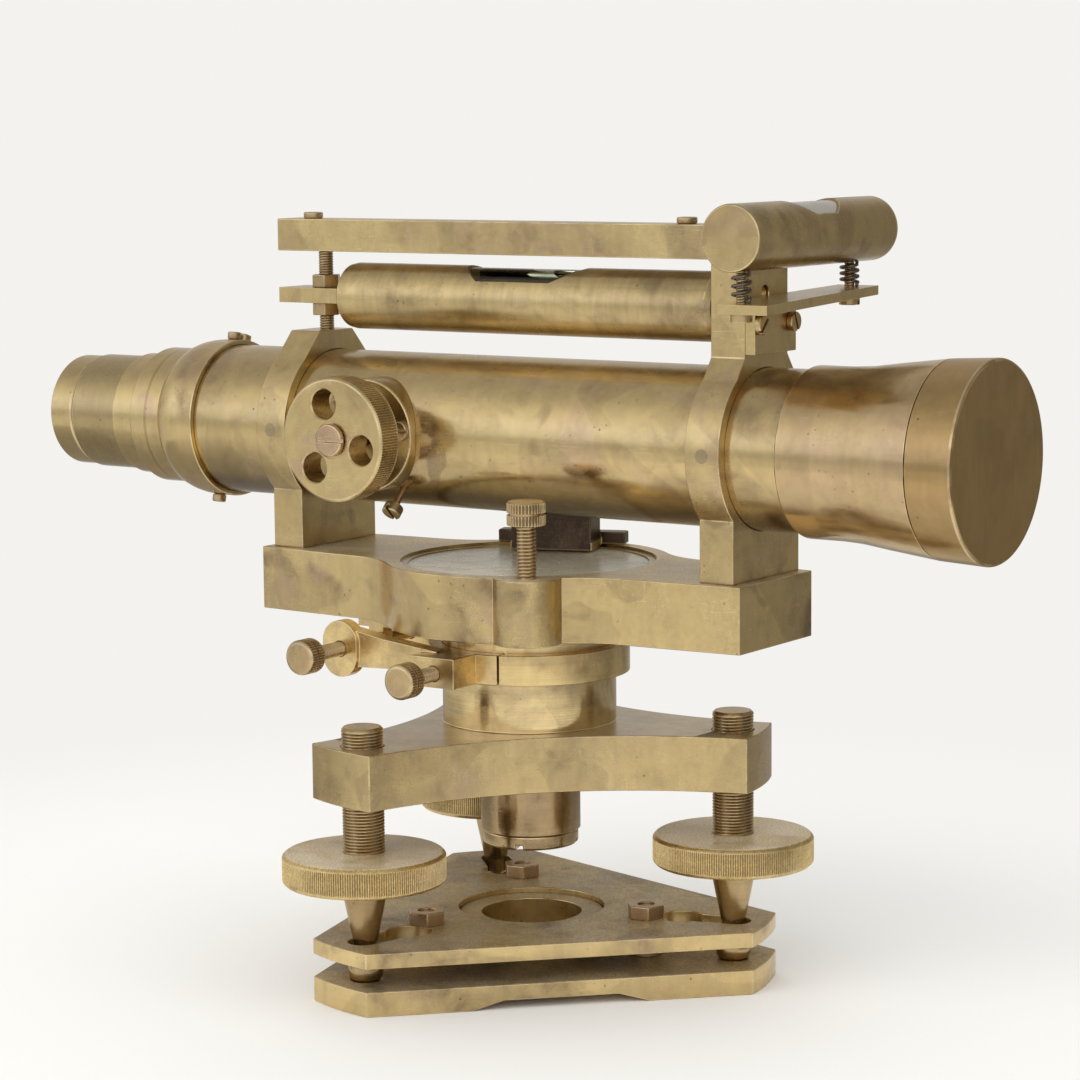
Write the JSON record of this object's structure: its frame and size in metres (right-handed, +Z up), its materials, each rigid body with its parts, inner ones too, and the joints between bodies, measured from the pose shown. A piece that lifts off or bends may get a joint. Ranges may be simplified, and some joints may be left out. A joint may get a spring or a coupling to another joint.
{
  "type": "surveying level",
  "caption": "Antique brass surveying level: telescope in two rings on a compass limb, long and cross spirit levels above, clamp and slow-motion screws, and a three-screw levelling base.",
  "frame": {"origin": "on the vertical axis, in the plane that the three pads of the base plate stand on", "axes": "+X along the telescope towards the object glass, +Y to the back, away from the focusing knob, +Z up along the vertical axis"},
  "size_m": [0.2927, 0.1362, 0.2053],
  "materials": {
    "cast_brass": "aged satin brass with worn lacquer",
    "turned_brass": "turned brass, worn bright",
    "dull_brass": "dull aged brass",
    "screw_brass": "milled brass screws",
    "dark_steel": "blued steel",
    "dial_silver": "silvered dial, tarnished",
    "clear_glass": "clear glass"
  },
  "bodies": {
    "trivet": {"base_plate": "cast_brass", "locking_plate": "cast_brass", "trivet_studs": "dull_brass", "trivet_nuts": "dull_brass"},
    "level_base": {"tribrach": "cast_brass", "bearing_sleeve": "turned_brass", "sleeve_nut": "turned_brass"},
    "foot_left": {"foot_screw_left": "screw_brass", "foot_knob_left": "screw_brass"},
    "foot_right": {"foot_screw_right": "screw_brass", "foot_knob_right": "screw_brass"},
    "foot_rear": {"foot_screw_rear": "screw_brass", "foot_knob_rear": "screw_brass"},
    "upper": {"spindle": "dull_brass", "limb": "cast_brass", "compass_dial": "dial_silver", "compass_glass": "clear_glass", "glass_ring": "turned_brass", "limb_tongue": "cast_brass", "support_rear": "cast_brass", "support_front": "cast_brass", "support_screws": "screw_brass", "main_tube": "turned_brass", "rear_bracket": "dull_brass", "pinion_housing": "turned_brass", "housing_screws": "screw_brass", "friction_screw": "screw_brass", "eyepiece_mount": "turned_brass", "diaphragm": "dull_brass", "diaphragm_screws": "screw_brass", "level_stud": "dull_brass", "stay_bar": "cast_brass", "stay_bar_screws": "screw_brass", "cross_bracket": "cast_brass", "bracket_screws": "screw_brass", "cross_screws": "screw_brass", "cross_spring_front": "dark_steel", "cross_spring_rear": "dark_steel"},
    "needle": {"compass_needle": "dark_steel"},
    "needle_lift": {"needle_lift_screw": "screw_brass"},
    "clamp": {"clamp_collar": "cast_brass", "clamp_pad": "dull_brass"},
    "clamp_screw": {"clamp_screw": "screw_brass"},
    "tangent": {"tangent_screw": "screw_brass", "plunger": "screw_brass"},
    "draw": {"draw_tube": "turned_brass", "focus_rack": "dull_brass", "objective_hood": "turned_brass", "objective_lens": "clear_glass"},
    "cap": {"dust_cap": "turned_brass"},
    "focus": {"focus_pinion": "dark_steel", "focus_knob": "screw_brass", "knob_screw": "screw_brass"},
    "eyepiece": {"eyepiece_tube": "turned_brass", "eyepiece_lenses": "clear_glass"},
    "long_level": {"level_tube": "turned_brass", "level_vial": "clear_glass"},
    "level_nuts": {"level_nuts": "dull_brass"},
    "cross_level": {"cross_tube": "turned_brass", "cross_vial": "clear_glass"}
  },
  "joints": [
    {"name": "tilt", "type": "hinge", "parent": "trivet", "child": "level_base", "pos_m": [0.01987, -0.01987, 0.009], "axis": [0.7071, 0.7071, 0], "range_deg": [-1, 1]},
    {"name": "turn_foot_left", "type": "hinge", "parent": "level_base", "child": "foot_left", "pos_m": [-0.01455, -0.05428, 0.03], "axis": [0, 0, 1], "range_deg": [-540, 540]},
    {"name": "turn_foot_right", "type": "hinge", "parent": "level_base", "child": "foot_right", "pos_m": [0.05428, 0.01455, 0.03], "axis": [0, 0, 1], "range_deg": [-540, 540]},
    {"name": "raise_rear", "type": "slide", "parent": "level_base", "child": "foot_rear", "axis": [0, 0, 1], "range_m": [-0.0015, 0.0015]},
    {"name": "azimuth", "type": "hinge", "parent": "level_base", "child": "upper", "pos_m": [0, 0, 0.09], "axis": [0, 0, 1], "continuous": true},
    {"name": "needle_swing", "type": "hinge", "parent": "upper", "child": "needle", "pos_m": [0, 0, 0.106], "axis": [0, 0, 1], "continuous": true},
    {"name": "needle_lift", "type": "slide", "parent": "upper", "child": "needle_lift", "axis": [0, 0, -1], "range_m": [0, 0.01]},
    {"name": "slow_motion", "type": "hinge", "parent": "upper", "child": "clamp", "pos_m": [0, 0, 0.085], "axis": [0, 0, 1], "range_deg": [-2, 2]},
    {"name": "clamp_turn", "type": "slide", "parent": "clamp", "child": "clamp_screw", "axis": [0, -1, 0], "range_m": [0, 0.002]},
    {"name": "tangent_turn", "type": "slide", "parent": "clamp", "child": "tangent", "axis": [0, 1, 0], "range_m": [-0.0013, 0.0013]},
    {"name": "focus_slide", "type": "slide", "parent": "upper", "child": "draw", "axis": [1, 0, 0], "range_m": [0, 0.02]},
    {"name": "focus_turn", "type": "hinge", "parent": "upper", "child": "focus", "pos_m": [-0.0362, 0, 0.1433], "axis": [0, -1, 0], "range_deg": [0, 288]},
    {"name": "cap_off", "type": "slide", "parent": "draw", "child": "cap", "axis": [1, 0, 0], "range_m": [0, 0.012]},
    {"name": "eyepiece_slide", "type": "slide", "parent": "upper", "child": "eyepiece", "axis": [-1, 0, 0], "range_m": [0, 0.006]},
    {"name": "level_adjust", "type": "hinge", "parent": "upper", "child": "long_level", "pos_m": [0.068, 0, 0.1785], "axis": [0, 1, 0], "range_deg": [-0.35, 0.35]},
    {"name": "nuts_turn", "type": "slide", "parent": "upper", "child": "level_nuts", "axis": [0, 0, 1], "range_m": [-0.0009, 0.0009]},
    {"name": "cross_adjust", "type": "hinge", "parent": "upper", "child": "cross_level", "pos_m": [0.07913, 0.0312, 0.189], "axis": [1, 0, 0], "range_deg": [-1, 1], "deforming": ["cross_spring_front"]}
  ],
  "couplings": [
    {"joint": "raise_rear", "follows": "tilt", "m_per_rad": -0.0843},
    {"joint": "tangent_turn", "follows": "slow_motion", "m_per_rad": 0.0365},
    {"joint": "focus_turn", "follows": "focus_slide", "rad_per_m": 250},
    {"joint": "nuts_turn", "follows": "level_adjust", "m_per_rad": 0.1342}
  ]
}
